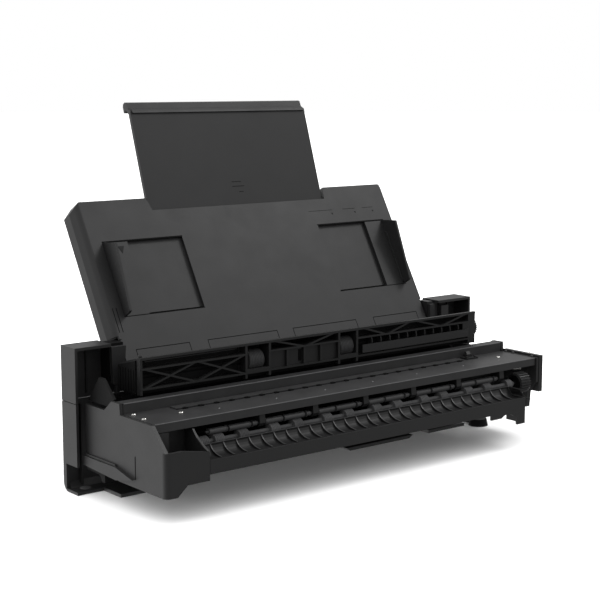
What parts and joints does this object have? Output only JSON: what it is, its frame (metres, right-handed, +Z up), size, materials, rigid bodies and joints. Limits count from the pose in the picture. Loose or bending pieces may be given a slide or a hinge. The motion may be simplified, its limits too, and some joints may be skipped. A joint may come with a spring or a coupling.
{
  "type": "sheet feeder tray unit",
  "caption": "Automatic sheet feeder unit for a wide desktop printer: leaning load tray with sliding edge guides, pull-out extension, pick frame, steel deck and feed rollers.",
  "frame": {"origin": "middle of the bounding box's footprint, on the surface that the feeder stands on", "axes": "+X along the feeder's length, to the right as seen from the printer side; +Y to the rear; +Z up"},
  "size_m": [0.4672, 0.2414, 0.3276],
  "materials": {
    "casing": "fine moulded texture, charcoal black",
    "frame": "smooth moulded, black",
    "deck": "powder coated sheet steel, black",
    "plate": "fine moulded texture, charcoal",
    "roller_rubber": "ground matt rubber, dark grey",
    "gear": "moulded acetal, black",
    "pinch_plastic": "smooth turned acetal, black",
    "steel": "drawn steel",
    "board": "solder-masked fibreglass"
  },
  "bodies": {
    "base": {"rear_casing_upper": "casing", "rear_casing_lower": "casing", "round_foot": "roller_rubber", "left_side_arm": "casing", "right_side_arm": "casing", "left_gable_plate": "frame", "left_hook_bracket": "frame", "right_end_plate": "casing", "deck_beam": "deck", "deck_strip": "deck", "deck_latch": "frame", "front_apron": "casing", "bottom_pan": "casing", "lower_paper_guide": "frame", "paper_chute": "frame", "pinch_bar": "steel", "pinch_holder_1": "frame", "pinch_holder_2": "frame", "pinch_holder_3": "frame", "pinch_holder_4": "frame", "pinch_holder_5": "frame", "pinch_holder_6": "frame", "pick_frame": "frame", "frame_bar": "casing", "drive_motor": "steel", "control_board": "board", "left_plate_bracket": "casing", "right_plate_bracket": "casing", "load_plate": "plate", "plate_rear_cover": "casing", "extension_sleeve": "casing"},
    "feed_roller": {"feed_shaft": "roller_rubber", "feed_gear": "gear"},
    "pinch_1": {"pinch_roller_1": "pinch_plastic"},
    "pinch_2": {"pinch_roller_2": "pinch_plastic"},
    "pinch_3": {"pinch_roller_3": "pinch_plastic"},
    "pinch_4": {"pinch_roller_4": "pinch_plastic"},
    "pinch_5": {"pinch_roller_5": "pinch_plastic"},
    "pinch_6": {"pinch_roller_6": "pinch_plastic"},
    "pick_rollers": {"pick_shaft": "steel", "pick_roller_left": "roller_rubber", "pick_roller_right": "roller_rubber", "pick_gear": "gear"},
    "pinion": {"motor_pinion": "steel"},
    "left_edge_guide": {"left_guide": "plate"},
    "right_edge_guide": {"right_guide": "plate"},
    "rack_pinion": {"guide_pinion": "gear"},
    "extension_tray": {"extension": "plate"}
  },
  "joints": [
    {"name": "feed_roller_spin", "type": "hinge", "parent": "base", "child": "feed_roller", "pos_m": [0, -0.09567, 0.0562], "axis": [1, 0, 0], "continuous": true},
    {"name": "pinch_1_spin", "type": "hinge", "parent": "base", "child": "pinch_1", "pos_m": [-0.1415, -0.09467, 0.0641], "axis": [1, 0, 0], "continuous": true},
    {"name": "pinch_2_spin", "type": "hinge", "parent": "base", "child": "pinch_2", "pos_m": [-0.0836, -0.09467, 0.0641], "axis": [1, 0, 0], "continuous": true},
    {"name": "pinch_3_spin", "type": "hinge", "parent": "base", "child": "pinch_3", "pos_m": [-0.0257, -0.09467, 0.0641], "axis": [1, 0, 0], "continuous": true},
    {"name": "pinch_4_spin", "type": "hinge", "parent": "base", "child": "pinch_4", "pos_m": [0.0322, -0.09467, 0.0641], "axis": [1, 0, 0], "continuous": true},
    {"name": "pinch_5_spin", "type": "hinge", "parent": "base", "child": "pinch_5", "pos_m": [0.0901, -0.09467, 0.0641], "axis": [1, 0, 0], "continuous": true},
    {"name": "pinch_6_spin", "type": "hinge", "parent": "base", "child": "pinch_6", "pos_m": [0.148, -0.09467, 0.0641], "axis": [1, 0, 0], "continuous": true},
    {"name": "pick_roller_spin", "type": "hinge", "parent": "base", "child": "pick_rollers", "pos_m": [0, -0.03117, 0.1035], "axis": [1, 0, 0], "continuous": true},
    {"name": "pinion_spin", "type": "hinge", "parent": "base", "child": "pinion", "pos_m": [0.1998, -0.01762, 0.1035], "axis": [1, 0, 0], "continuous": true},
    {"name": "right_guide_slide", "type": "slide", "parent": "base", "child": "right_edge_guide", "axis": [-1, 0, 0], "range_m": [0, 0.059]},
    {"name": "left_guide_slide", "type": "slide", "parent": "base", "child": "left_edge_guide", "axis": [1, 0, 0], "range_m": [0, 0.059]},
    {"name": "rack_pinion_turn", "type": "hinge", "parent": "base", "child": "rack_pinion", "pos_m": [-0.0018, 0.03973, 0.15044], "axis": [0, -0.866, 0.5], "range_deg": [0, 484]},
    {"name": "extension_slide", "type": "slide", "parent": "base", "child": "extension_tray", "axis": [0, -0.309, -0.9511], "range_m": [0, 0.066]}
  ],
  "couplings": [
    {"joint": "pinch_1_spin", "follows": "feed_roller_spin", "ratio": -1.9259},
    {"joint": "pinch_2_spin", "follows": "feed_roller_spin", "ratio": -1.9259},
    {"joint": "pinch_3_spin", "follows": "feed_roller_spin", "ratio": -1.9259},
    {"joint": "pinch_4_spin", "follows": "feed_roller_spin", "ratio": -1.9259},
    {"joint": "pinch_5_spin", "follows": "feed_roller_spin", "ratio": -1.9259},
    {"joint": "pinch_6_spin", "follows": "feed_roller_spin", "ratio": -1.9259},
    {"joint": "pinion_spin", "follows": "pick_roller_spin", "ratio": -1.7143},
    {"joint": "left_guide_slide", "follows": "right_guide_slide", "ratio": 1},
    {"joint": "rack_pinion_turn", "follows": "right_guide_slide", "rad_per_m": 142.86}
  ]
}
